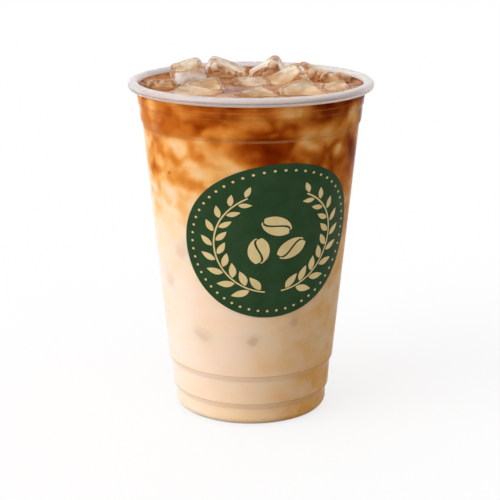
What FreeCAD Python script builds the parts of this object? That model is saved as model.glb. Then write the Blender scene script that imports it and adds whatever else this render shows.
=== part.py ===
"""Iced coffee in a clear thermoformed cup, heaped with ice.

Frame: millimetres, +Z up, origin at the centre of the ring that the cup stands on. The viewer's
side is -Y.

The cup is one sheet of plastic of even thickness: a pushed-up base, two stacking steps, a tapered
wall, a shoulder, a neck with a snap rib, and a rolled rim whose curl stays open underneath. Milk
fills the cup up to an uneven boundary. Coffee lies above it up to the level, and separate blocks of
ice float in the coffee and stand above it.
"""

import FreeCAD
import Part

import math
import os

Vector = FreeCAD.Vector
AXIS = Vector(0, 0, 1)

# ---- the cup: overall sizes, measured on its outside ----
CUP_HEIGHT = 136.0
RIM_RADIUS = 49.0
BASE_RADIUS = 31.3
WALL = 0.4

# ---- rolled rim ----
RIM_OVERHANG = 3.8  # from the neck's outside to the outermost edge of the roll
RIM_DROP = 3.4  # height of the roll
RIM_ROUNDING = 1.65  # on the outside of the roll
RIM_MOUTH = 0.8  # gap between the end of the curl and the neck

# ---- neck and shoulder ----
RIB_BELOW_BRIM = 6.2
RIB_HEIGHT = 0.9
RIB_DEPTH = 0.18
NECK_STEP_BELOW_BRIM = 8.5
NECK_STEP = 0.4
SHOULDER_BELOW_BRIM = 15.4
SHOULDER_DRAFT = 0.62  # how much the band between the neck and the shoulder draws in
SHOULDER_STEP = 0.8
SHOULDER_STEP_HEIGHT = 2.1

# ---- stacking steps above the base ----
LOWER_STEP_TOP = 9.5
LOWER_STEP = 1.08
UPPER_STEP_TOP = 21.7
UPPER_STEP = 0.99
STEP_HEIGHT = 2.3
STEP_DRAFT = 0.72  # how much the band between the two steps draws in
STEP_ROUNDING = 0.9

# ---- base ----
FOOT_ROUNDING = 3.2
FOOT_WIDTH = 3.6  # of the flat ring that the cup stands on
PUSH_UP = 2.2  # height of the base's middle above that ring
PUSH_UP_RUN = 3.0
PUSH_UP_ROUNDING = 1.5

# ---- the drink ----
FILL_BELOW_BRIM = 3.0
COFFEE_DEPTH = 25.0
BOUNDARY_SWING = 3.2
BOUNDARY_CELLS = 14
BOUNDARY_LOBES = [(2, 0.7, 0.5), (3, 2.0, 1.0), (5, 0.4, 0.6)]  # (how many, turned by, share of the swing)

# ---- the ice ----
ICE_EDGE = 20.5
ICE_ROUNDING = 2.6
ICE_DRAFT = 0.07  # how much narrower a block gets, as a share of its height
ICE_CLEARANCE = 0.3  # between two blocks, and between a block and the wall

# Each block: (bearing, distance from the axis as a share of the drink's radius, rise of its top
# above the level, turn, lean, bearing that it leans to, width, depth and height in ice edges).
# Bearings, turns and leans are in degrees, with 0 along +X and 90 along +Y.
ICE_BLOCKS = {
    "ice_left_tall": (150, 0.62, 10.4, 14, 18, 230, 0.72, 0.78, 1.05),
    "ice_back_left": (111, 0.76, 8.6, 4, 24, 345, 0.92, 0.80, 0.92),
    "ice_back_peak": (74, 0.73, 9.2, -8, 34, 185, 0.84, 0.80, 0.96),
    "ice_back_right": (50, 0.86, 7.0, 24, 22, 350, 0.72, 0.74, 0.88),
    "ice_centre_right": (36, 0.45, 8.9, 8, 30, 215, 1.00, 0.86, 0.96),
    "ice_right": (22, 0.83, 4.8, -10, 14, 90, 0.64, 0.68, 0.86),
    "ice_right_edge": (-8, 0.76, 3.6, 12, 14, 250, 0.66, 0.72, 0.86),
    "ice_front_right": (-38, 0.56, 6.6, 40, 26, 275, 0.96, 0.96, 0.96),
    "ice_front": (-82, 0.44, 4.4, 40, 20, 280, 0.76, 0.78, 0.86),
    "ice_front_left": (-142, 0.63, 3.8, -24, 12, 290, 1.00, 0.92, 0.86),
    "ice_middle": (-174, 0.40, 4.6, 20, 20, 270, 0.80, 0.74, 0.86),
    "ice_left": (176, 0.80, 3.8, 8, 16, 100, 0.68, 0.80, 0.86),
    "ice_back_middle": (88, 0.16, 3.2, 16, 12, 280, 0.80, 0.76, 0.82),
}


# ---- lines in the half plane of radius and height ----


def unit(start, end):
    """The direction from start to end, both (radius, height, ...)."""
    length = math.hypot(end[0] - start[0], end[1] - start[1])
    return (end[0] - start[0]) / length, (end[1] - start[1]) / length


def turn_between(before, after):
    """The angle from one direction to the next, positive to the left."""
    cross = before[0] * after[1] - before[1] * after[0]
    dot = before[0] * after[0] + before[1] * after[1]
    return math.atan2(cross, dot)


def shifted(corners, distance):
    """The line that runs at this distance to the left of a line of (radius, height, rounding)."""
    ways = [unit(a, b) for a, b in zip(corners, corners[1:])]
    moved = []
    for i, (radius, height, rounding) in enumerate(corners):
        before = ways[max(i - 1, 0)]
        after = ways[min(i, len(ways) - 1)]
        turn = turn_between(before, after)
        middle = (before[0] + after[0], before[1] + after[1])
        scale = distance / math.hypot(*middle) / math.cos(turn / 2)
        if rounding:
            rounding -= math.copysign(distance, turn)
        moved.append((radius - middle[1] * scale, height + middle[0] * scale, rounding))
    return moved


def point(radius, height):
    return Vector(radius, 0, height)


def rounded_edges(corners):
    """Straight runs joined by tangent arcs at the corners that have a rounding."""
    ends = [point(*corners[0][:2])]
    arcs = []
    for a, b, c in zip(corners, corners[1:], corners[2:]):
        before, after = unit(a, b), unit(b, c)
        turn = turn_between(before, after)
        reach = b[2] * math.tan(abs(turn) / 2)
        start = point(b[0] - before[0] * reach, b[1] - before[1] * reach)
        end = point(b[0] + after[0] * reach, b[1] + after[1] * reach)
        corner = point(b[0], b[1])
        inward = (start + end) * 0.5 - corner
        if reach:
            sagitta = b[2] / math.cos(turn / 2) - b[2]
            middle = corner + inward * (sagitta / inward.Length)
            arcs.append(Part.Arc(start, middle, end).toShape())
        else:
            arcs.append(None)
        ends += [start, end]
    ends.append(point(*corners[-1][:2]))
    edges = []
    for i in range(0, len(ends), 2):
        edges.append(Part.makeLine(ends[i], ends[i + 1]))
        if i // 2 < len(arcs) and arcs[i // 2]:
            edges.append(arcs[i // 2])
    return edges


def revolved(edges):
    """The solid that a closed outline sweeps round the axis."""
    face = Part.Face(Part.Wire(edges))
    return face.revolve(Vector(0, 0, 0), AXIS, 360)


# ---- the cup ----


def neck_radius():
    return RIM_RADIUS - RIM_OVERHANG


def level():
    return CUP_HEIGHT - FILL_BELOW_BRIM


def outside_to_neck():
    """The cup's outside from the middle of its base to the top of its rib."""
    foot_out = BASE_RADIUS - FOOT_ROUNDING
    foot_in = foot_out - FOOT_WIDTH
    band_low = BASE_RADIUS + LOWER_STEP
    band_top = band_low + STEP_DRAFT
    wall_low = band_top + UPPER_STEP
    shoulder_top = neck_radius() - NECK_STEP
    shoulder_low = shoulder_top - SHOULDER_DRAFT
    wall_top = shoulder_low - SHOULDER_STEP
    shoulder = CUP_HEIGHT - SHOULDER_BELOW_BRIM
    neck_low = CUP_HEIGHT - NECK_STEP_BELOW_BRIM
    rib = CUP_HEIGHT - RIB_BELOW_BRIM
    return [
        (0, PUSH_UP, 0),
        (foot_in - PUSH_UP_RUN, PUSH_UP, PUSH_UP_ROUNDING),
        (foot_in, 0, PUSH_UP_ROUNDING),
        (BASE_RADIUS, 0, FOOT_ROUNDING),
        (BASE_RADIUS, LOWER_STEP_TOP - STEP_HEIGHT, STEP_ROUNDING),
        (band_low, LOWER_STEP_TOP, STEP_ROUNDING),
        (band_top, UPPER_STEP_TOP - STEP_HEIGHT, STEP_ROUNDING),
        (wall_low, UPPER_STEP_TOP, STEP_ROUNDING),
        (wall_top, shoulder - SHOULDER_STEP_HEIGHT, STEP_ROUNDING),
        (shoulder_low, shoulder, STEP_ROUNDING),
        (shoulder_top, neck_low - NECK_STEP, 0),
        (neck_radius(), neck_low, 0),
        (neck_radius(), rib - RIB_HEIGHT / 2, 0),
        (neck_radius() + RIB_DEPTH, rib, 0),
        (neck_radius(), rib + RIB_HEIGHT / 2, 0),
    ]


def rolled_rim():
    """The hollow side of the roll, from the top of the neck round to the end of the curl."""
    inner_rounding = RIM_ROUNDING - WALL
    top = CUP_HEIGHT - WALL
    low = CUP_HEIGHT - RIM_DROP + WALL
    outermost = RIM_RADIUS - WALL
    return [
        (neck_radius(), top, inner_rounding),
        (outermost, top, inner_rounding),
        (outermost, low, inner_rounding),
        (neck_radius() + RIM_MOUTH, low, 0),
    ]


def make_cup():
    """The sheet between the cup's outside and a line one wall thickness inside it."""
    outside = outside_to_neck() + rolled_rim()
    inside = shifted(outside, WALL)
    lip = Part.makeLine(point(*outside[-1][:2]), point(*inside[-1][:2]))
    centre = Part.makeLine(point(*inside[0][:2]), point(*outside[0][:2]))
    return revolved(rounded_edges(outside) + [lip] + rounded_edges(inside)[::-1] + [centre])


def make_inner_space(depth_from_outside, top):
    """The space that lies this far inside the cup's outside, up to a height."""
    outside = outside_to_neck() + [(neck_radius(), top, 0)]
    wall = shifted(outside, depth_from_outside)
    lid = Part.makeLine(point(*wall[-1][:2]), point(0, top))
    centre = Part.makeLine(point(0, top), point(*wall[0][:2]))
    return revolved(rounded_edges(wall) + [lid, centre])


# ---- the ice ----


def rectangle(width, depth, height):
    corners = [
        Vector(x * width / 2, y * depth / 2, height)
        for x, y in ((-1, -1), (1, -1), (1, 1), (-1, 1), (-1, -1))
    ]
    return Part.makePolygon(corners)


def ice_block(width, depth, height):
    """A block from a tray: it draws in towards its top, and its edges have melted round."""
    draw = 1 - ICE_DRAFT
    foot = rectangle(width, depth, -height / 2)
    head = rectangle(width * draw, depth * draw, height / 2)
    block = Part.makeLoft([foot, head], True, True)
    return block.makeFillet(ICE_ROUNDING, block.Edges).Solids[0]


def floating_block(bearing, share, rise, turn, lean, leans_to, width, depth, height):
    """A block turned, leaned over and set so that its top stands above the level."""
    block = ice_block(width * ICE_EDGE, depth * ICE_EDGE, height * ICE_EDGE)
    lean_axis = Vector(-math.sin(math.radians(leans_to)), math.cos(math.radians(leans_to)), 0)
    block.Placement = FreeCAD.Placement(
        Vector(0, 0, 0),
        FreeCAD.Rotation(lean_axis, lean).multiply(FreeCAD.Rotation(AXIS, turn)),
    )
    radius = share * (neck_radius() - WALL)
    block.translate(
        Vector(
            radius * math.cos(math.radians(bearing)),
            radius * math.sin(math.radians(bearing)),
            level() + rise - block.BoundBox.ZMax,
        )
    )
    return block


def beyond(origin, way, size):
    """A box that fills the far side of the plane through origin, square to the way."""
    box = Part.makeBox(size, size, size, Vector(-size / 2, -size / 2, 0))
    box.Placement = FreeCAD.Placement(origin, FreeCAD.Rotation(AXIS, way)).multiply(box.Placement)
    return box


def share_out(blocks):
    """Cuts neighbouring blocks back to a flat gap between them, where they would meet."""
    centres = {name: block.CenterOfMass for name, block in blocks.items()}
    reaches = {name: block.BoundBox.DiagonalLength / 2 for name, block in blocks.items()}
    parted = {}
    for name, block in blocks.items():
        for other, centre in centres.items():
            way = centre - centres[name]
            if other == name or way.Length > reaches[name] + reaches[other]:
                continue
            lean_to_larger = (reaches[name] ** 2 - reaches[other] ** 2) / way.Length / 6
            reach = (way.Length + lean_to_larger - ICE_CLEARANCE) / 2
            origin = centres[name] + way * (reach / way.Length)
            block = block.cut(beyond(origin, way, 2 * CUP_HEIGHT)).Solids[0]
        parted[name] = block
    return parted


def make_ice():
    """All the blocks, clear of each other and of the wall."""
    room = make_inner_space(WALL + ICE_CLEARANCE, CUP_HEIGHT + ICE_EDGE)
    blocks = {name: floating_block(*sizes) for name, sizes in ICE_BLOCKS.items()}
    return {name: block.common(room).Solids[0] for name, block in share_out(blocks).items()}


# ---- the drink ----


def boundary_height(x, y):
    """Height of the boundary between milk and coffee: flat on the axis, in lobes near the wall."""
    bearing = math.atan2(y, x)
    reach = math.hypot(x, y) / neck_radius()
    lobes = sum(
        share * math.cos(count * bearing + turned) for count, turned, share in BOUNDARY_LOBES
    )
    return level() - COFFEE_DEPTH + BOUNDARY_SWING * reach**2 * lobes


def make_space_below_boundary():
    """Everything below the uneven boundary, wider than the cup."""
    half = RIM_RADIUS
    places = [half * (2 * i / BOUNDARY_CELLS - 1) for i in range(BOUNDARY_CELLS + 1)]
    sheet = Part.BSplineSurface()
    sheet.interpolate([[Vector(x, y, boundary_height(x, y)) for y in places] for x in places])
    return sheet.toShape().extrude(Vector(0, 0, -CUP_HEIGHT))


def make_drink(ice):
    """Milk and coffee, cut round the ice that floats in them."""
    drink = make_inner_space(WALL, level())
    for block in ice.values():
        drink = drink.cut(block)
    below = make_space_below_boundary()
    return {"milk": drink.common(below).Solids[0], "coffee": drink.cut(below).Solids[0]}


def main():
    ice = make_ice()
    nodes = {"cup": make_cup(), **make_drink(ice), **ice}
    os.makedirs("parts", exist_ok=True)
    for name, shape in nodes.items():
        shape.exportStep(f"parts/{name}.step")
        print(name, len(shape.Solids), shape.isValid(), round(shape.Volume), "mm3")


main()
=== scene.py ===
"""The looks of the iced coffee: clear cup, marbled drink, wet ice and the print on the cup.

Everything is in metres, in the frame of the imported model: +Z up, the cup's axis at x = y = 0, and
the viewer on the -Y side. Bearings are in degrees round the axis, with 0 along +X and -90 towards
the viewer. The cup, the drink and the floating ice are made from the CAD nodes. The print lies on
the cup's wall, and the sunk ice presses against it from inside.
"""

import math
import random

import bmesh
import bpy
import numpy as np
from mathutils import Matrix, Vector, noise
from mathutils.bvhtree import BVHTree


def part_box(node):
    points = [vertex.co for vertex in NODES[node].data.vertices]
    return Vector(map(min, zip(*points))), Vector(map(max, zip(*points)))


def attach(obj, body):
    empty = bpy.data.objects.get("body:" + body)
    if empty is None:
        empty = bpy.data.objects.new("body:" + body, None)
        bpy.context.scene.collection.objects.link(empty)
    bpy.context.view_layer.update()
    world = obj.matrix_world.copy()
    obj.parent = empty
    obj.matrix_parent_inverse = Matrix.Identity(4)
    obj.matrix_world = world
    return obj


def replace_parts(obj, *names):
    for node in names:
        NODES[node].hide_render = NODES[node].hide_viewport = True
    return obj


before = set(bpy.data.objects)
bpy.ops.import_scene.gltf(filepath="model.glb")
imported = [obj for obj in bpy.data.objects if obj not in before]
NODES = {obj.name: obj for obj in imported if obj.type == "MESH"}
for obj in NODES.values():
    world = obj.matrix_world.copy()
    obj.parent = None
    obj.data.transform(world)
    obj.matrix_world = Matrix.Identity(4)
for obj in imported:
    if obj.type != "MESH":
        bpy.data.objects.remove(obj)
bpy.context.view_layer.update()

MM = 0.001
ICE_NODES = sorted(name for name in NODES if name.startswith("ice_"))
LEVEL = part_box("coffee")[1].z
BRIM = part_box("cup")[1].z
RIM_FOOT = BRIM - 3.5 * MM
RIM_SHADE_LINE = RIM_FOOT + 1.5 * MM  # a painted dark line of shade round the roll
GLINT_BENDS = [  # bends of the sheet with a painted light tan highlight line: height, half width, strength
    (BRIM - 6.2 * MM, 0.35 * MM, 0.22),  # the rib
    (BRIM - 8.7 * MM, 0.30 * MM, 0.22),  # the step below it
    (BRIM - 17.2 * MM, 0.80 * MM, 0.32),  # the shoulder
    (21.9 * MM, 0.40 * MM, 0.35),  # the two stacking steps
    (9.7 * MM, 0.40 * MM, 0.35),
]

# ---- fineness of the turned pieces ----
CUP_COLUMNS = 192
DRINK_COLUMNS = 360
TOP_RINGS = 60
CUP_STEP = 3.0 * MM  # longest run between two rings of the cup
DRINK_STEP = 1.0 * MM
INTO_WALL = 0.15 * MM  # how far the drink reaches into the wall, so that no air gap shows

# ---- the print ----
PRINT_BEARING = -76
PRINT_HEIGHT = 79.0 * MM  # of its middle
PRINT_WALL = 39.0 * MM  # the wall's radius there
PRINT_ROUND = 31.0  # radius in mm, before the stretch
PRINT_STRETCH = 1.18  # the print is a little longer one way
PRINT_LEAN = 10  # degrees from level to that way

# ---- the camera ----
CAMERA_PLACE = Vector((-0.0004, -0.5712, 0.2256))
CAMERA_PITCH = 15.70  # degrees down from level
CAMERA_LENS = 103.74


# ---------------------------------------------------------------- node materials


class Shader:
    """A node material that is written from left to right."""

    def __init__(self, name):
        self.material = bpy.data.materials.new(name)
        self.material.use_nodes = True
        self.tree = self.material.node_tree
        self.tree.nodes.clear()

    def add(self, kind, inputs=None, **settings):
        """Adds a node. A socket given as an input is linked, and a value is set."""
        made = self.tree.nodes.new("ShaderNode" + kind)
        for name, value in settings.items():
            setattr(made, name, value)
        for name, value in (inputs or {}).items():
            if isinstance(value, bpy.types.NodeSocket):
                self.tree.links.new(value, made.inputs[name])
            else:
                made.inputs[name].default_value = value
        return made

    def place(self):
        return self.add("TexCoord").outputs["Object"]

    def height(self):
        return self.add("SeparateXYZ", {0: self.place()}).outputs["Z"]

    def attribute(self, name):
        return self.add("Attribute", attribute_name=name).outputs["Fac"]

    def noise(self, size, detail=3.0, rough=0.5, warp=0.0, at=None):
        """Fractal noise from 0 to 1, with features of this size in metres."""
        values = {"Scale": 1 / size, "Detail": detail, "Roughness": rough, "Distortion": warp}
        values["Vector"] = at or self.place()
        return self.add("TexNoise", values).outputs["Fac"]

    def math(self, operation, a, b=0.0, clamp=False):
        made = self.add("Math", {0: a, 1: b}, operation=operation, use_clamp=clamp)
        return made.outputs[0]

    def span(self, value, low, high, to_low=0.0, to_high=1.0, smooth=True):
        """Maps low..high to another range, and stops at its ends."""
        kind = "SMOOTHSTEP" if smooth else "LINEAR"
        values = {"Value": value, "From Min": low, "From Max": high}
        values.update({"To Min": to_low, "To Max": to_high})
        return self.add("MapRange", values, interpolation_type=kind).outputs["Result"]

    def ramp(self, value, stops):
        """Colours along a value, from (place, colour) pairs."""
        made = self.add("ValToRGB", {"Fac": value})
        band = made.color_ramp
        while len(band.elements) < len(stops):
            band.elements.new(0.5)
        for element, (place, colour) in zip(band.elements, stops):
            element.position = place
            element.color = (*colour, 1.0)
        return made.outputs["Color"]

    def mix(self, share, a, b):
        made = self.add("Mix", data_type="RGBA")
        for socket, value in ((made.inputs[0], share), (made.inputs[6], a), (made.inputs[7], b)):
            if isinstance(value, bpy.types.NodeSocket):
                self.tree.links.new(value, socket)
            elif isinstance(value, tuple):
                socket.default_value = (*value, 1.0)
            else:
                socket.default_value = value
        return made.outputs[2]

    def bump(self, height, depth):
        values = {"Height": height, "Distance": depth, "Strength": 1.0}
        return self.add("Bump", values).outputs["Normal"]

    def finish(self, surface):
        self.add("OutputMaterial", {"Surface": surface})
        return self.material

    def finish_clear(self, surface, tint):
        """A clear surface that lets lamp light through with a tint instead of blocking it."""
        through = self.add("BsdfTransparent", {"Color": (*tint, 1.0)}).outputs[0]
        shadow = self.add("LightPath").outputs["Is Shadow Ray"]
        both = self.add("MixShader", {0: shadow, 1: surface, 2: through})
        return self.finish(both.outputs[0])


def cup_material():
    """Clear plastic. Its rolled rim is milky, partly in place of the white surroundings seen through
    its layers, most at its lower edge, where a warm glow is painted in, and it has a painted shade
    line. Each bend has a painted highlight line.
    """
    s = Shader("cup_plastic")
    height = s.height()
    grain = s.noise(1.5 * MM, detail=4)
    clear = s.add(
        "BsdfPrincipled",
        {
            "Base Color": (0.985, 0.98, 0.975, 1.0),
            "Transmission Weight": 1.0,
            "Roughness": s.span(grain, 0.3, 0.7, 0.02, 0.05),
            "IOR": 1.04,
            "Normal": s.bump(s.noise(9 * MM, detail=2), 0.05 * MM),
        },
    ).outputs[0]
    glossy = s.add(
        "BsdfPrincipled",
        {
            "Base Color": (0.955, 0.935, 0.925, 1.0),
            "Transmission Weight": 1.0,
            "Roughness": 0.08,
            "IOR": 1.45,
        },
    ).outputs[0]
    rolled = s.span(height, RIM_FOOT - 0.3 * MM, RIM_FOOT + 0.5 * MM)
    # the roll's lower edge, where a painted warm glow stands in for light coming through it
    under = s.span(height, RIM_FOOT + 0.3 * MM, RIM_FOOT + 1.1 * MM, 1, 0)
    # the roll's milky colour, which partly stands in for the white surroundings seen through its
    # layers
    milky = s.mix(s.span(grain, 0.35, 0.65), (0.87, 0.81, 0.79), (0.90, 0.85, 0.835))
    # a painted shade line: a darker band round the roll at the curl's lip
    off_shade_line = s.math("ABSOLUTE", s.math("SUBTRACT", height, RIM_SHADE_LINE))
    milky = s.mix(s.span(off_shade_line, 0, 0.45 * MM, 1, 0), milky, (0.40, 0.30, 0.28))
    # painted glow: the roll's lower edge is lighter and warmer
    milky = s.mix(under, milky, (1.0, 0.84, 0.70))
    # the rim's milky colour, and a light tan for the painted highlight lines at the bends
    haze_and_glints = s.add(
        "BsdfPrincipled",
        {
            "Base Color": s.mix(rolled, (0.74, 0.37, 0.11), milky),
            "Roughness": 0.4,
            "Specular IOR Level": 0.0,
        },
    ).outputs[0]
    sheet = s.add("MixShader", {0: rolled, 1: clear, 2: glossy}).outputs[0]
    # how much haze shows: on the roll, most at its lower edge with the painted glow, and on the
    # painted highlight lines at the bends
    dull = s.math("MULTIPLY", rolled, s.span(under, 0, 1, 0.32, 0.72))
    # painted highlight lines along each bend of the sheet
    for level, width, strength in GLINT_BENDS:
        near = s.span(s.math("ABSOLUTE", s.math("SUBTRACT", height, level)), 0, width, strength, 0)
        dull = s.math("MAXIMUM", dull, near)
    both = s.add("MixShader", {0: dull, 1: sheet, 2: haze_and_glints}).outputs[0]
    return s.finish_clear(both, (0.97, 0.96, 0.96))


BREW_COLOURS = [  # from milk to coffee
    (0.00, (0.83, 0.685, 0.605)),
    (0.18, (0.83, 0.60, 0.38)),
    (0.33, (0.79, 0.41, 0.13)),
    (0.47, (0.66, 0.23, 0.035)),
    (0.62, (0.48, 0.115, 0.010)),
    (0.78, (0.26, 0.034, 0.001)),
    (1.00, (0.12, 0.006, 0.0005)),
]


def drink_material(name="milk_and_coffee", scatter=4.0 * MM):
    """Milk and coffee. How much coffee there is comes from the mesh, with finer swirls on top."""
    s = Shader(name)
    brew = s.attribute("brew")
    mixing = s.span(brew, 0.06, 0.45)
    swirl = s.math("SUBTRACT", s.noise(7 * MM, detail=3, rough=0.45, warp=0.6), 0.5)
    fine = s.math("MULTIPLY", swirl, s.span(mixing, 0, 1, 0.04, 0.30))
    strength = s.math("ADD", brew, fine, clamp=True)
    colour = s.ramp(strength, BREW_COLOURS)
    colour = s.mix(s.attribute("veil"), colour, (0.58, 0.35, 0.23))
    body = s.add(
        "BsdfPrincipled",
        {
            "Base Color": colour,
            "Roughness": 0.3,
            "IOR": 1.33,
            "Specular IOR Level": 0.0,
            "Subsurface Weight": s.span(brew, 0.1, 0.4, 0.9, 0.25),
            "Subsurface Radius": (1.0, 0.6, 0.4),
            "Subsurface Scale": scatter,
        },
    )
    return s.finish(body.outputs[0])


def surface_material():
    """The drink's wet top: tan, streaked with milk and dark coffee, and a painted amber glow under
    the ice.
    """
    s = Shader("drink_surface")
    streak = s.noise(11 * MM, detail=4, rough=0.6, warp=1.3)
    browns = [
        (0.28, (0.080, 0.010, 0.001)),
        (0.40, (0.24, 0.060, 0.012)),
        (0.50, (0.42, 0.140, 0.040)),
        (0.60, (0.56, 0.215, 0.065)),
        (0.75, (0.68, 0.330, 0.110)),
    ]
    # painted glow: lighter ambers under the ice, in place of light coming through the coffee there
    glow_ambers = [
        (0.30, (0.70, 0.330, 0.100)),
        (0.50, (0.93, 0.650, 0.330)),
        (0.70, (0.98, 0.840, 0.600)),
    ]
    pocket = s.span(s.height(), LEVEL - 1.5 * MM, LEVEL - 0.3 * MM, 1, 0)
    wet = s.add(
        "BsdfPrincipled",
        {
            "Base Color": s.mix(pocket, s.ramp(streak, browns), s.ramp(streak, glow_ambers)),
            "Roughness": 0.10,
            "IOR": 1.34,
            "Specular IOR Level": 0.06,
            "Normal": s.bump(s.noise(4 * MM, detail=3), 0.3 * MM),
        },
    )
    return s.finish(wet.outputs[0])


def ink_material(name, dark, light):
    """Printed ink: even, satin, with a faint mottle."""
    s = Shader(name)
    mottle = s.noise(6 * MM, detail=5)
    fleck = s.noise(0.35 * MM, detail=2)
    ink = s.add(
        "BsdfPrincipled",
        {
            "Base Color": s.mix(s.span(mottle, 0.3, 0.7), dark, light),
            "Roughness": 0.42,
            "IOR": 1.45,
            "Specular IOR Level": 0.05,
            "Normal": s.bump(fleck, 0.01 * MM),
        },
    )
    return s.finish(ink.outputs[0])


FILM_LOW = 0.5 * MM  # above the level, where the coffee on the ice is thickest
FILM_HIGH = 3.2 * MM


def ice_material():
    """Wet ice: clear and cloudy by turns, with coffee low down. The brown ridges and veins are
    painted refraction of the drink, and a white reflection is painted on the tallest block.
    """
    s = Shader("ice")
    cloud = s.noise(8 * MM, detail=2, warp=0.3)
    broken = s.span(s.noise(5 * MM, detail=2), 0.30, 0.50, 0.25, 1)
    # painted refraction: dark brown lines along the ridges, in place of the drink seen through the
    # ice's edges
    ridge = s.math("MULTIPLY", s.attribute("ridge"), broken)
    film = s.span(s.height(), LEVEL + FILM_LOW, LEVEL + FILM_HIGH, 0.6, 0)
    painted_reflection = s.attribute("painted_reflection")
    # painted refraction: thin brown lines wandering over the faces, in place of the drink seen bent
    # through the ice
    refraction_noise = s.math("ABSOLUTE", s.math("SUBTRACT", s.noise(4.5 * MM, warp=0.8), 0.5))
    refraction_vein = s.span(refraction_noise, 0, 0.02, 0.6, 0)
    clear = s.add(
        "BsdfPrincipled",
        {
            "Base Color": s.mix(ridge, (0.995, 0.95, 0.87), (0.75, 0.33, 0.08)),
            "Transmission Weight": 1.0,
            "Roughness": s.span(cloud, 0.3, 0.7, 0.01, 0.06),
            "IOR": 1.31,
            "Normal": s.bump(s.noise(3.5 * MM, detail=2), 0.3 * MM),
        },
    ).outputs[0]
    dull = s.mix(s.span(cloud, 0.3, 0.7), (0.97, 0.67, 0.37), (1.0, 0.94, 0.80))
    dull = s.mix(refraction_vein, dull, (0.60, 0.27, 0.08))
    dull = s.mix(film, dull, (0.78, 0.38, 0.10))
    dull = s.mix(ridge, dull, (0.33, 0.10, 0.012))
    # a painted white reflection on the tallest block's faces towards the viewer
    dull = s.mix(painted_reflection, dull, (1.0, 0.96, 0.93))
    cloudy = s.add(
        "BsdfPrincipled",
        {
            "Base Color": dull,
            "Roughness": 0.05,
            "IOR": 1.31,
            "Subsurface Weight": 0.6,
            "Subsurface Radius": (1.0, 0.8, 0.6),
            "Subsurface Scale": 3 * MM,
        },
    ).outputs[0]
    share = s.span(cloud, 0.35, 0.7, 0.36, 0.78)
    share = s.math("MAXIMUM", share, s.math("MULTIPLY", ridge, 0.8))
    share = s.math("MAXIMUM", share, painted_reflection)
    both = s.add("MixShader", {0: share, 1: clear, 2: cloudy}).outputs[0]
    return s.finish_clear(both, (0.98, 0.96, 0.92))


# ---------------------------------------------------------------- meshes


def make_object(name, vertices, faces, material, smooth=True):
    mesh = bpy.data.meshes.new(name)
    mesh.from_pydata(vertices, [], faces)
    mesh.update()
    mesh.polygons.foreach_set("use_smooth", [smooth] * len(mesh.polygons))
    mesh.materials.append(material)
    made = bpy.data.objects.new(name, mesh)
    bpy.context.scene.collection.objects.link(made)
    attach(made, "root")
    return made


def store(mesh, name, values):
    layer = mesh.attributes.new(name, "FLOAT", "POINT")
    layer.data.foreach_set("value", np.asarray(values, dtype=np.float32))


def tree_of(name):
    """A node's mesh, ready for rays and nearest points."""
    mesh = NODES[name].data
    return BVHTree.FromPolygons([v.co for v in mesh.vertices], [p.vertices[:] for p in mesh.polygons])


def section_of(node):
    """The outline (radius, height) of a turned node where it meets the plane y = 0, on the +X side.

    It starts at the axis on the contents' side, runs up inside, over the rim and down outside.
    """
    cut = bmesh.new()
    cut.from_mesh(NODES[node].data)
    bmesh.ops.remove_doubles(cut, verts=cut.verts, dist=1e-6)
    everything = cut.verts[:] + cut.edges[:] + cut.faces[:]
    met = bmesh.ops.bisect_plane(
        cut, geom=everything, dist=1e-7, plane_co=(0, 0, 0), plane_no=(0, 1, 0)
    )
    links = {}
    for edge in met["geom_cut"]:
        if isinstance(edge, bmesh.types.BMEdge) and all(v.co.x > -1e-6 for v in edge.verts):
            a, b = edge.verts
            links.setdefault(a, []).append(b)
            links.setdefault(b, []).append(a)
    ends = [vertex for vertex, others in links.items() if len(others) == 1]
    path = [max(ends, key=lambda vertex: vertex.co.z)]
    before = None
    while True:
        onward = [vertex for vertex in links[path[-1]] if vertex is not before]
        if not onward:
            break
        before = path[-1]
        path.append(onward[0])
    points = [(vertex.co.x, vertex.co.z) for vertex in path]
    cut.free()
    return [(0.0, points[0][1])] + points + [(0.0, points[-1][1])]


def divided(points, step):
    """The same outline with no run longer than the step."""
    out = [points[0]]
    for (r0, z0), (r1, z1) in zip(points, points[1:]):
        runs = max(1, math.ceil(math.hypot(r1 - r0, z1 - z0) / step))
        for i in range(1, runs + 1):
            out.append((r0 + (r1 - r0) * i / runs, z0 + (z1 - z0) * i / runs))
    return out


def turned(points, columns):
    """Vertices and faces of an outline that is turned round the axis and starts and ends on it."""
    vertices = [(0.0, 0.0, points[0][1])]
    for radius, height in points[1:-1]:
        for i in range(columns):
            turn = 2 * math.pi * i / columns
            vertices.append((radius * math.cos(turn), radius * math.sin(turn), height))
    last = len(vertices)
    vertices.append((0.0, 0.0, points[-1][1]))
    faces = []
    rings = len(points) - 2
    for i in range(columns):
        j = (i + 1) % columns
        faces.append((0, 1 + j, 1 + i))
        for ring in range(rings - 1):
            low, high = 1 + ring * columns, 1 + (ring + 1) * columns
            faces.append((low + i, low + j, high + j, high + i))
        top = 1 + (rings - 1) * columns
        faces.append((last, top + i, top + j))
    return vertices, faces


CUP_SECTION = section_of("cup")
RIM_INDEX = max(range(len(CUP_SECTION)), key=lambda i: CUP_SECTION[i][1])
INSIDE = CUP_SECTION[: RIM_INDEX + 1]
OUTSIDE = CUP_SECTION[RIM_INDEX:][::-1]


def radius_at(outline, height):
    """The radius of the wall at a height, where the outline is steep."""
    steep = [(z, r) for (r, z), (_, after) in zip(outline, outline[1:]) if after > z]
    return float(np.interp(height, [z for z, _ in steep], [r for _, r in steep]))


def make_cup():
    vertices, faces = turned(divided(CUP_SECTION, CUP_STEP), CUP_COLUMNS)
    faces = [face[::-1] for face in faces]
    cup = make_object("cup_shell", vertices, faces, cup_material())
    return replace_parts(cup, "cup")


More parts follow.
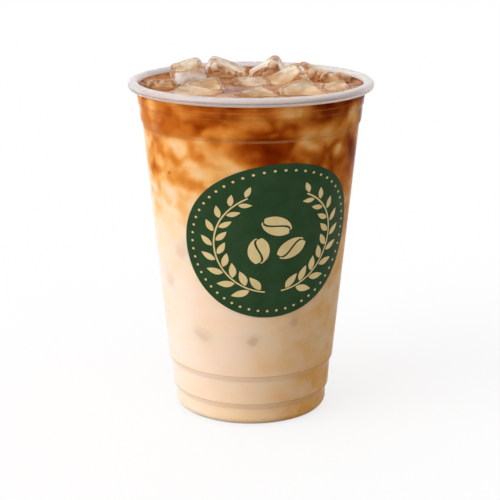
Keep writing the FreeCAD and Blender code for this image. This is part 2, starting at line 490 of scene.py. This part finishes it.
# ---------------------------------------------------------------- the drink

# Coffee clouds the milk, in places drawn at random all the way round with a fixed seed.
CLOUD_SEED = 3
CLOUD_COUNT = 150
CLOUD_LOWEST = 92 * MM
CLOUD_REACH = 9.0  # half the length of the longest clouds, in mm
CLOUD_FLATNESS = (0.35, 0.7)
CLOUD_TILT = 20  # usual lean from level, in degrees
CLOUD_SPREAD = 0.28  # usual difference from the typical amount of coffee
CLOUD_STRENGTH = 0.8
SHADED_BEARING = -15  # the side away from the light, where more coffee is put in as painted shade
PAINTED_SHADE_SHARE = 0.24
BREW_HEIGHTS = [0, 30, 60, 90, 105, 120, 134]  # in mm
BREW_LEVELS = [0.10, 0.03, 0.04, 0.20, 0.35, 0.56, 0.68]
SWAY = 5  # in mm: how far the heights above are pushed up and down
SWAY_SIZE = 24 * MM
SHADES = 0.05  # broad faint differences all over
SHADES_SIZE = 18 * MM
MARBLING = 9 * MM  # size of the blobs where coffee and milk mix
MARBLING_HEIGHTS = [65, 105, 134]  # in mm
MARBLING_STRENGTHS = [0.01, 0.14, 0.18]
DRIFT = 2.2 * MM  # how far the blobs' edges are pushed about
DRIFT_SIZE = 8 * MM
VEIL_REACH = 6.0 * MM  # how near the wall floating ice starts to show through the drink
VEIL_STRENGTH = 0.42
VEIL_PATCHES = 7 * MM


def falloff(bearing, height, radius, at, up, half_width, half_height, tilt):
    """1 in the middle of a patch on the wall, at this bearing and height, and 0 well outside it."""
    across = np.radians((bearing - at + 180) % 360 - 180) * radius / MM
    rise = (height - up) / MM
    c, s = math.cos(math.radians(tilt)), math.sin(math.radians(tilt))
    x = (across * c + rise * s) / half_width
    y = (rise * c - across * s) / half_height
    return np.exp(-((x * x + y * y) ** 1.1))


def random_clouds():
    """Places with more coffee or more milk: (bearing, height, half sizes in mm, tilt, coffee)."""
    draw = random.Random(CLOUD_SEED)
    clouds = []
    for _ in range(CLOUD_COUNT):
        bearing = draw.uniform(0, 360)
        share = draw.random() ** 0.7
        height = CLOUD_LOWEST + (LEVEL - CLOUD_LOWEST) * share
        length = CLOUD_REACH * draw.uniform(0.2, 1) ** 1.6
        flatness = draw.uniform(*CLOUD_FLATNESS)
        tilt = draw.gauss(0, CLOUD_TILT)
        side = math.cos(math.radians(bearing - SHADED_BEARING))
        # There is more coffee higher up, and more on the side away from the light as painted shade.
        typical = 0.14 + 0.45 * share + 0.10 * side
        coffee = min(max(draw.gauss(typical, CLOUD_SPREAD), 0.10 + 0.16 * share), 1)
        clouds.append((bearing, height, length, length * flatness, tilt, coffee))
    return clouds


def wander(vertices, size, seed, octaves=4):
    """Smooth noise from about -1 to 1 at each vertex. Each seed gives other noise."""
    shift = Vector((seed, seed * 1.7, -seed))
    return np.array([noise.fractal(Vector(v) / size + shift, 0.8, 2.0, octaves) for v in vertices])


def brew_at(vertices):
    """How much coffee there is at each place near the wall, from 0 to 1."""
    places = np.array(vertices)
    radius = np.hypot(places[:, 0], places[:, 1]) + 1e-9
    bearing = np.degrees(np.arctan2(places[:, 1], places[:, 0]))
    sideways = wander(vertices, DRIFT_SIZE, 3.1, octaves=2) * DRIFT
    upwards = wander(vertices, DRIFT_SIZE, 8.4, octaves=2) * DRIFT
    broad = wander(vertices, SWAY_SIZE, 5.7)
    moved = places + np.column_stack([sideways, sideways, upwards])
    mottle = np.tanh(1.8 * wander(moved * (1, 1, 1.5), MARBLING, 1.3, octaves=2))
    bearing = bearing + np.degrees(sideways / radius)
    height = places[:, 2] + upwards
    brew = np.interp(height / MM + SWAY * broad, BREW_HEIGHTS, BREW_LEVELS)
    # painted shade: more coffee towards the side away from the light
    brew += PAINTED_SHADE_SHARE * (0.5 + 0.5 * np.cos(np.radians(bearing - SHADED_BEARING))) ** 1.5
    brew += SHADES * wander(moved * (1, 1, 2), SHADES_SIZE, 6.6)
    brew += mottle * np.interp(height / MM, MARBLING_HEIGHTS, MARBLING_STRENGTHS)
    for *patch, coffee in random_clouds():
        brew += (coffee - brew) * CLOUD_STRENGTH * falloff(bearing, height, radius, *patch)
    return np.clip(brew, 0, 1)


def veil_at(vertices):
    """How strongly the floating ice behind the wall shows at each place, from 0 to 1."""
    nearest = np.full(len(vertices), VEIL_REACH)
    for name in ICE_NODES:
        tree = tree_of(name)
        low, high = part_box(name)
        for i, place in enumerate(vertices):
            if any(not low[k] - VEIL_REACH < place[k] < high[k] + VEIL_REACH for k in range(3)):
                continue
            distance = tree.find_nearest(Vector(place), VEIL_REACH)[3]
            if distance is not None:
                nearest[i] = min(nearest[i], distance)
    patchy = np.clip(0.8 + 0.8 * wander(vertices, VEIL_PATCHES, 4.9), 0.2, 1)
    return VEIL_STRENGTH * patchy * np.sin(math.pi / 2 * (1 - nearest / VEIL_REACH)) ** 1.5


MENISCUS = 1.1 * MM  # how far the drink climbs at the wall
MENISCUS_REACH = 1.8 * MM  # how far from the wall it climbs
POCKET_CLEARANCE = 0.5 * MM  # how far a pocket ends above the lowest side of its ice


def pocket_depths(places):
    """How deep the ice reaches below each place on the level, or 0 where there is none."""
    depths = np.zeros(len(places))
    for name in ICE_NODES:
        tree = tree_of(name)
        low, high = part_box(name)
        for i, place in enumerate(places):
            if not (low.x < place[0] < high.x and low.y < place[1] < high.y):
                continue
            hit, normal, _, distance = tree.ray_cast(Vector(place), Vector((0, 0, -1)))
            if hit is not None and normal.z < 0:
                depths[i] = max(depths[i], distance)
    return depths


def make_drink():
    """Milk and coffee up to the level, in one piece that reaches just into the wall.

    Its top climbs a little at the wall and has a pocket for each block of ice.
    """
    wall = []
    for radius, height in INSIDE[1:]:
        if height > LEVEL:
            break
        wall.append((radius, height))
    wall = [INSIDE[0]] + wall + [(wall[-1][0], LEVEL + MENISCUS)]
    pushed = [wall[0]]
    for before, here, after in zip(wall, wall[1:], wall[2:] + [wall[-1]]):
        run, rise = after[0] - before[0], after[1] - before[1]
        length = math.hypot(run, rise)
        pushed.append((here[0] + rise / length * INTO_WALL, here[1] - run / length * INTO_WALL))
    outline = divided(pushed, DRINK_STEP)
    edge = outline[-1][0]
    top_start = len(outline)
    for i in range(1, TOP_RINGS + 1):
        radius = edge * (1 - i / TOP_RINGS)
        climb = max(0.0, 1 - (edge - radius) / MENISCUS_REACH) ** 2
        outline.append((radius, LEVEL + MENISCUS * climb))
    vertices, faces = turned(outline, DRINK_COLUMNS)
    first = 1 + (top_start - 2) * DRINK_COLUMNS
    inner = [i for i in range(first, len(vertices)) if math.hypot(*vertices[i][:2]) < edge - 1 * MM]
    depths = pocket_depths([(vertices[i][0], vertices[i][1], LEVEL) for i in inner])
    for i, depth in zip(inner, depths):
        x, y, z = vertices[i]
        vertices[i] = (x, y, z - max(0.0, depth - POCKET_CLEARANCE))
    drink = make_object("drink", vertices, faces, drink_material())
    drink.data.materials.append(surface_material())
    for face in drink.data.polygons:
        face.material_index = int(min(face.vertices) >= first)
    store(drink.data, "brew", brew_at(vertices))
    store(drink.data, "veil", veil_at(vertices))
    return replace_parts(drink, "milk", "coffee")


# Blocks that are sunk in the drink and press against the wall, in places drawn at random.
SUNK_SEED = 4
SUNK_COUNT = 24
SUNK_DEPTH = 8.0 * MM  # from the wall to the middle of a block
SUNK_HEIGHTS = [(34, 60), (69, 95)]  # in mm: low and high by turns, so that no two blocks meet
SUNK_HALF_WIDTHS = (2.4, 5.0)  # in mm
SUNK_HALF_HEIGHTS = (1.8, 4.0)
SUNK_TURNS = (-60, 60)  # in degrees
SUNK_STRENGTHS = (0.5, 0.85)
SUNK_STRAYING = 0.25  # from even places round the cup, as a share of the step between them
SUNK_POWER = 2.6  # 2 is an egg, and more is squarer
SUNK_UNEVENNESS = 0.4 * MM
SUNK_WAVES = 5 * MM  # size of the unevenness
SUNK_PROUD = 0.85  # where the wall cuts a block, as a share of its depth
SUNK_FACETS = 18
SUNK_LIFT = 0.05 * MM  # how far a block stands proud of the drink's side
SUNK_FADE = 1.6 * MM  # the pressing at which a block shows fully
SUNK_EDGE = 2.0 * MM  # the strip round the pressed place that is shaded like the wall
SUNK_SCATTER = 1.0 * MM  # light spreads less in a block, so that its edge stays unseen


def rounded_cube(facets):
    """Vertices on a cube of half size 1, with this many squares along an edge, and its faces."""
    cube = bmesh.new()
    bmesh.ops.create_cube(cube, size=2)
    bmesh.ops.subdivide_edges(cube, edges=cube.edges, cuts=facets - 1, use_grid_fill=True)
    cube.verts.index_update()
    vertices = [v.co.copy() for v in cube.verts]
    faces = [tuple(v.index for v in face.verts) for face in cube.faces]
    cube.free()
    return vertices, faces


def sunk_block(bearing, height, half_width, half_height, turn, strength, cube):
    """One block, flattened against the wall.

    Returns its places, how much each shows, and whether each is shaded like the wall.
    """
    shown = (1 - SUNK_PROUD**SUNK_POWER) ** (1 / SUNK_POWER)
    heading = math.radians(bearing)
    out = Vector((math.cos(heading), math.sin(heading), 0))
    side = Vector((-out.y, out.x, 0))
    lean = math.radians(turn)
    across = side * math.cos(lean) + Vector((0, 0, math.sin(lean)))
    rising = Vector((0, 0, math.cos(lean))) - side * math.sin(lean)
    middle = out * (radius_at(INSIDE, height * MM) - SUNK_PROUD * SUNK_DEPTH)
    middle.z = height * MM
    places, veils, against = [], [], []
    for corner in cube:
        size = sum(abs(c) ** SUNK_POWER for c in corner) ** (1 / SUNK_POWER)
        x, y, z = corner / size
        place = middle + out * z * SUNK_DEPTH
        place += across * x * half_width * MM / shown + rising * y * half_height * MM / shown
        place += corner * noise.noise(place / SUNK_WAVES) * SUNK_UNEVENNESS
        wall = radius_at(INSIDE, place.z) + INTO_WALL + SUNK_LIFT
        reach = math.hypot(place.x, place.y)
        pressed = min(max((reach - wall) / SUNK_FADE, 0), 1)
        against.append(reach > wall - SUNK_EDGE)
        if reach > wall:
            place.x *= wall / reach
            place.y *= wall / reach
        places.append(place)
        veils.append(strength * pressed * pressed * (3 - 2 * pressed))  # a smooth start and end
    return places, veils, against


def wall_normal(place):
    """The way the drink's side faces at a place on it."""
    rise = MM
    run = radius_at(INSIDE, place.z + rise) - radius_at(INSIDE, place.z - rise)
    return Vector((place.x, place.y, -run / (2 * rise) * math.hypot(place.x, place.y))).normalized()


def make_sunk_ice():
    """All the sunk blocks as one mesh, with the drink's colours and shading where they show."""
    draw = random.Random(SUNK_SEED)
    cube, squares = rounded_cube(SUNK_FACETS)
    vertices, faces, veil, against = [], [], [], []
    for i in range(SUNK_COUNT):
        bearing = 360 / SUNK_COUNT * (i + draw.uniform(-SUNK_STRAYING, SUNK_STRAYING))
        height = draw.uniform(*SUNK_HEIGHTS[i % 2])
        half_width = draw.uniform(*SUNK_HALF_WIDTHS)
        half_height = draw.uniform(*SUNK_HALF_HEIGHTS)
        turn = draw.uniform(*SUNK_TURNS)
        strength = draw.uniform(*SUNK_STRENGTHS)
        faces += [tuple(len(vertices) + corner for corner in square) for square in squares]
        block = sunk_block(bearing, height, half_width, half_height, turn, strength, cube)
        vertices += block[0]
        veil += block[1]
        against += block[2]
    sunk = make_object("sunk_ice", vertices, faces, drink_material("sunk_ice", SUNK_SCATTER))
    mesh = sunk.data
    normals = [
        wall_normal(v.co) if flat else n.vector
        for v, n, flat in zip(mesh.vertices, mesh.vertex_normals, against)
    ]
    mesh.normals_split_custom_set_from_vertices(normals)
    store(mesh, "brew", brew_at(vertices))
    store(mesh, "veil", veil)


# ---------------------------------------------------------------- the ice

ICE_VOXEL = 0.6 * MM
ICE_SMOOTHING = 3  # rounds
ICE_UNEVENNESS = 0.45 * MM
ICE_WAVES = 7 * MM  # size of the unevenness
ICE_MELTING = 0.35  # moves the unevenness inwards on the whole
RIDGE_SMOOTHING = 4  # rounds of averaging, so that a ridge is one clean line
RIDGE_BENDS = [230, 340, 420, 560]  # in 1/m: flatter places are no ridge, and rounder ones a corner
RIDGE_STRENGTHS = [0, 1, 1, 0.15]

# The tallest block has a painted white reflection on its faces towards the viewer, above the drink.
REFLECTING_BLOCK = max(ICE_NODES, key=lambda name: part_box(name)[1].z)
REFLECTION_PATCHES = 5 * MM


def ridges(mesh):
    """1 along the ridges of a mesh, 0 where it is flat, hollow or as round as a corner."""
    count = len(mesh.vertices)
    places = np.empty(count * 3)
    mesh.vertices.foreach_get("co", places)
    places = places.reshape(-1, 3)
    normals = np.array([n.vector for n in mesh.vertex_normals])
    pairs = np.empty(len(mesh.edges) * 2, dtype=int)
    mesh.edges.foreach_get("vertices", pairs)
    a, b = pairs.reshape(-1, 2).T
    number = np.bincount(a, minlength=count) + np.bincount(b, minlength=count)

    def around(values):
        """The mean of a value over each vertex's neighbours."""
        return (np.bincount(a, values[b], count) + np.bincount(b, values[a], count)) / number

    centre = np.column_stack([around(places[:, axis]) for axis in range(3)])
    spacing = np.linalg.norm(places[a] - places[b], axis=1).mean()
    bend = -np.einsum("ij,ij->i", centre - places, normals) * 4 / spacing**2
    for _ in range(RIDGE_SMOOTHING):
        bend = (bend + around(bend)) / 2
    return np.interp(bend, RIDGE_BENDS, RIDGE_STRENGTHS)


def painted_reflection_at(mesh):
    """How white the painted reflection is at each vertex: on faces towards the viewer, least at the
    top.
    """
    places = np.array([v.co[:] for v in mesh.vertices])
    normals = np.array([n.vector for n in mesh.vertex_normals])
    facing = np.clip((-normals[:, 1] - 0.45) / 0.3, 0, 1)
    up = (places[:, 2] - LEVEL) / (places[:, 2].max() - LEVEL)
    low = np.clip(1.5 - 1.9 * up, 0, 1)
    patchy = np.clip(1.2 + 0.9 * wander(places, REFLECTION_PATCHES, 2.2), 0, 1)
    return facing * low * patchy


def make_ice():
    """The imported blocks, melted: remeshed, smoothed and a little uneven."""
    material = ice_material()
    for number, name in enumerate(ICE_NODES):
        source = NODES[name].data.copy()
        block = bpy.data.objects.new("melted_" + name, source)
        bpy.context.scene.collection.objects.link(block)
        remesh = block.modifiers.new("remesh", "REMESH")
        remesh.mode = "VOXEL"
        remesh.voxel_size = ICE_VOXEL
        smooth = block.modifiers.new("smooth", "SMOOTH")
        smooth.factor = 0.5
        smooth.iterations = ICE_SMOOTHING
        graph = bpy.context.evaluated_depsgraph_get()
        mesh = bpy.data.meshes.new_from_object(block.evaluated_get(graph))
        block.modifiers.clear()
        block.data = mesh
        middle = sum((v.co for v in mesh.vertices), Vector()) / len(mesh.vertices)
        for vertex in mesh.vertices:
            out = (vertex.co - middle).normalized()
            here = vertex.co / ICE_WAVES + Vector((number, 0, 0))
            vertex.co += out * (noise.fractal(here, 1.0, 2.0, 3) - ICE_MELTING) * ICE_UNEVENNESS
        mesh.polygons.foreach_set("use_smooth", [True] * len(mesh.polygons))
        store(mesh, "ridge", ridges(mesh))
        white_reflection = painted_reflection_at(mesh) if name == REFLECTING_BLOCK else np.zeros(len(mesh.vertices))
        store(mesh, "painted_reflection", white_reflection)
        mesh.materials.clear()
        mesh.materials.append(material)
        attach(block, "root")
        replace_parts(block, name)


# ---------------------------------------------------------------- the print

INK = 0.05 * MM  # thickness of a layer
GOLD_LIFT = 0.8  # how far up in the green the gold starts, as a share of the green's thickness
PRINT_COLUMN = 1.5  # mm between the lines along which a flat shape can bend round the wall
DOT_COUNT = 54
DOT_RADIUS = 0.48  # in mm, as are all sizes of the flat design
TWIG_WIDTH = 0.55
LEAF_PAIRS = 9
LEAF_LENGTH = 6.6  # of the lowest pair
LEAF_SHORTENING = 0.28  # from each pair to the next
LEAF_SLENDERNESS = 0.42
BEAN_LENGTH = 10.4
BEAN_WIDTH = 7.2
BEAN_GAP = 0.75
BEAN_RING = 6.4  # from the middle of the print to the middle of a bean


def on_circle(radius, angle):
    return Vector((radius * math.cos(math.radians(angle)), radius * math.sin(math.radians(angle))))


def mirrored(angle, side):
    """The angle itself for side 1, and its mirror image across the upright for side -1."""
    return 90 - side * (90 - angle)


def disc(middle, radius, corners):
    return [middle + on_circle(radius, 360 * i / corners) for i in range(corners)]


def leaf(root, angle, length, width, curl):
    """A pointed leaf that starts at its root and bends a little to one side."""
    along = on_circle(1, angle)
    across = Vector((-along.y, along.x))
    steps = 10

    def edge(side):
        out = []
        for i in range(steps + 1):
            t = i / steps
            swell = math.sin(math.pi * t**0.85) ** 0.9
            bend = curl * length * t * t
            out.append(root + along * length * t + across * (bend + side * width / 2 * swell))
        return out

    return edge(1) + edge(-1)[-2:0:-1]


def bean(middle, angle, length, width, gap):
    """The two halves of a coffee bean, parted by a line that winds like an S."""
    along = on_circle(1, angle)
    across = Vector((-along.y, along.x))
    steps = 16
    halves = []
    for side in (1, -1):
        outer, inner = [], []
        for i in range(steps + 1):
            t = math.pi * i / steps
            x = length / 2 * math.cos(t)
            wind = 0.16 * width * math.sin(2 * t)
            reach = max(width / 2 * math.sin(t), abs(wind) + gap)
            outer.append(middle + along * x + across * side * reach)
            inner.append(middle + along * x * 0.94 + across * (wind + side * gap / 2))
        halves.append(outer + inner[::-1])
    return halves


def band(middle, radius, start, end, width):
    """A narrow curved stroke along part of a circle."""
    steps = max(2, round(abs(end - start) / 6))
    angles = [start + (end - start) * i / steps for i in range(steps + 1)]
    outer = [middle + on_circle(radius + width / 2, a) for a in angles]
    inner = [middle + on_circle(radius - width / 2, a) for a in angles]
    return outer + inner[::-1]


def gold_shapes():
    """A wreath of two leafy twigs round three beans, inside a ring of dots."""
    origin = Vector((0, 0))
    shapes = []
    for i in range(DOT_COUNT):
        shapes.append(disc(on_circle(0.915 * PRINT_ROUND, 360 * i / DOT_COUNT), DOT_RADIUS, 10))
    twig = 0.66 * PRINT_ROUND
    for side in (1, -1):
        shapes.append(band(origin, twig, mirrored(-82, side), mirrored(62, side), TWIG_WIDTH))
        for i in range(LEAF_PAIRS):
            at = -72 + 16 * i
            for out in (1, -1):
                root = on_circle(twig + out * 0.62, mirrored(at + 5 * out, side))
                heading = mirrored(at, side) + side * (90 - out * 44)
                size = LEAF_LENGTH - LEAF_SHORTENING * i
                curl = 0.12 * side * out
                shapes.append(leaf(root, heading, size, LEAF_SLENDERNESS * size, curl))
    for i in range(3):
        at = 90 + 120 * i
        shapes += bean(on_circle(BEAN_RING, at), at + 62, BEAN_LENGTH, BEAN_WIDTH, BEAN_GAP)
    return shapes


def stretched(point):
    """A point of the round design on the print, which is longer along its leaning axis."""
    along = on_circle(1, PRINT_LEAN)
    return point + along * point.dot(along) * (PRINT_STRETCH - 1)


def make_print(name, shapes, material, lift):
    """Flat shapes wrapped round the wall as one thin closed layer."""
    flat = bmesh.new()
    for shape in shapes:
        flat.faces.new([flat.verts.new((*stretched(point), 0)) for point in shape])
    bmesh.ops.recalc_face_normals(flat, faces=flat.faces)
    reach = PRINT_ROUND * PRINT_STRETCH
    lines = int(2 * reach / PRINT_COLUMN)
    for i in range(1, lines):
        at = -reach + 2 * reach * i / lines
        everything = flat.verts[:] + flat.edges[:] + flat.faces[:]
        bmesh.ops.bisect_plane(flat, geom=everything, plane_co=(at, 0, 0), plane_no=(1, 0, 0))
    bmesh.ops.triangulate(flat, faces=flat.faces)
    bmesh.ops.solidify(flat, geom=flat.faces[:], thickness=INK / MM)
    levels = [v.co.z for v in flat.verts]
    lowest = min(levels)
    for vertex in flat.verts:
        height = PRINT_HEIGHT + vertex.co.y * MM
        bearing = math.radians(PRINT_BEARING) + vertex.co.x * MM / PRINT_WALL
        radius = radius_at(OUTSIDE, height) + lift + (vertex.co.z - lowest) * MM
        vertex.co = (radius * math.cos(bearing), radius * math.sin(bearing), height)
    bmesh.ops.recalc_face_normals(flat, faces=flat.faces)
    mesh = bpy.data.meshes.new(name)
    flat.to_mesh(mesh)
    flat.free()
    mesh.materials.append(material)
    made = bpy.data.objects.new(name, mesh)
    bpy.context.scene.collection.objects.link(made)
    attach(made, "root")


def make_prints():
    green = ink_material("green_ink", (0.024, 0.055, 0.021), (0.030, 0.069, 0.027))
    gold = ink_material("gold_ink", (0.70, 0.52, 0.24), (0.78, 0.60, 0.30))
    field = [disc(Vector((0, 0)), PRINT_ROUND, 180)]
    make_print("print_field", field, green, 0.0)
    make_print("print_wreath", gold_shapes(), gold, INK * GOLD_LIFT)


# ---------------------------------------------------------------- the studio

FLOOR_REACH = 6.0
FLOOR_GLOW = 0.72  # how much of the floor's looks is plain white, and the rest keeps the shadow
WORLD_LIGHT = 0.82
SUN_POWER = 0.44 * math.pi
SUN_BEARING = -152
SUN_ELEVATION = 26
SUN_SOFTNESS = 50  # degrees across


def seen_directly(tree):
    """1 for rays from the camera, also by way of gloss or glass, and 0 for light on a surface."""
    path = tree.nodes.new("ShaderNodeLightPath")

    def join(operation, a, b):
        made = tree.nodes.new("ShaderNodeMath")
        made.operation = operation
        made.use_clamp = True
        tree.links.new(a, made.inputs[0])
        tree.links.new(b, made.inputs[1])
        return made.outputs[0]

    value = path.outputs["Is Camera Ray"]
    for name in ("Is Glossy Ray", "Is Transmission Ray"):
        value = join("MAXIMUM", value, path.outputs[name])
    return join("SUBTRACT", value, path.outputs["Diffuse Depth"])


def make_stage():
    """A pale floor that looks white and keeps a light shadow."""
    floor = bpy.data.meshes.new("floor")
    far = FLOOR_REACH
    corners = [(-far, -far, 0), (far, -far, 0), (far, far, 0), (-far, far, 0)]
    floor.from_pydata(corners, [], [(0, 1, 2, 3)])
    s = Shader("pale_floor")
    seen = seen_directly(s.tree)
    colour = s.mix(seen, (0.45, 0.45, 0.45), (0.98, 0.98, 0.98))
    plain = s.add("BsdfDiffuse", {"Color": colour}).outputs[0]
    white = s.add("Emission", {"Color": (1, 1, 1, 1), "Strength": 1.0}).outputs[0]
    share = s.math("MULTIPLY", seen, FLOOR_GLOW)
    floor.materials.append(s.finish(s.add("MixShader", {0: share, 1: plain, 2: white}).outputs[0]))
    made = bpy.data.objects.new("floor", floor)
    bpy.context.scene.collection.objects.link(made)


def make_world():
    world = bpy.data.worlds.new("studio")
    bpy.context.scene.world = world
    world.use_nodes = True
    tree = world.node_tree
    tree.nodes.clear()
    strength = tree.nodes.new("ShaderNodeMapRange")
    tree.links.new(seen_directly(tree), strength.inputs["Value"])
    strength.inputs["To Min"].default_value = WORLD_LIGHT
    strength.inputs["To Max"].default_value = 1.0
    background = tree.nodes.new("ShaderNodeBackground")
    background.inputs["Color"].default_value = (1, 1, 1, 1)
    tree.links.new(strength.outputs["Result"], background.inputs["Strength"])
    output = tree.nodes.new("ShaderNodeOutputWorld")
    tree.links.new(background.outputs[0], output.inputs["Surface"])


def make_key():
    """One wide soft light from the upper left of the viewer."""
    data = bpy.data.lights.new("key", "SUN")
    data.energy = SUN_POWER
    data.angle = math.radians(SUN_SOFTNESS)
    lamp = bpy.data.objects.new("key", data)
    bearing, up = math.radians(SUN_BEARING), math.radians(SUN_ELEVATION)
    level = math.cos(up)
    from_there = Vector((math.cos(bearing) * level, math.sin(bearing) * level, math.sin(up)))
    lamp.location = from_there
    lamp.rotation_euler = from_there.to_track_quat("Z", "Y").to_euler()
    bpy.context.scene.collection.objects.link(lamp)


def make_camera():
    data = bpy.data.cameras.new("camera")
    data.lens = CAMERA_LENS
    camera = bpy.data.objects.new("camera", data)
    camera.location = CAMERA_PLACE
    camera.rotation_euler = (math.radians(90 - CAMERA_PITCH), 0, 0)
    bpy.context.scene.collection.objects.link(camera)
    bpy.context.scene.camera = camera


def main():
    scene = bpy.context.scene
    scene.view_settings.view_transform = "Standard"
    make_camera()
    make_world()
    make_key()
    make_stage()
    make_cup()
    make_drink()
    make_sunk_ice()
    make_ice()
    make_prints()


main()
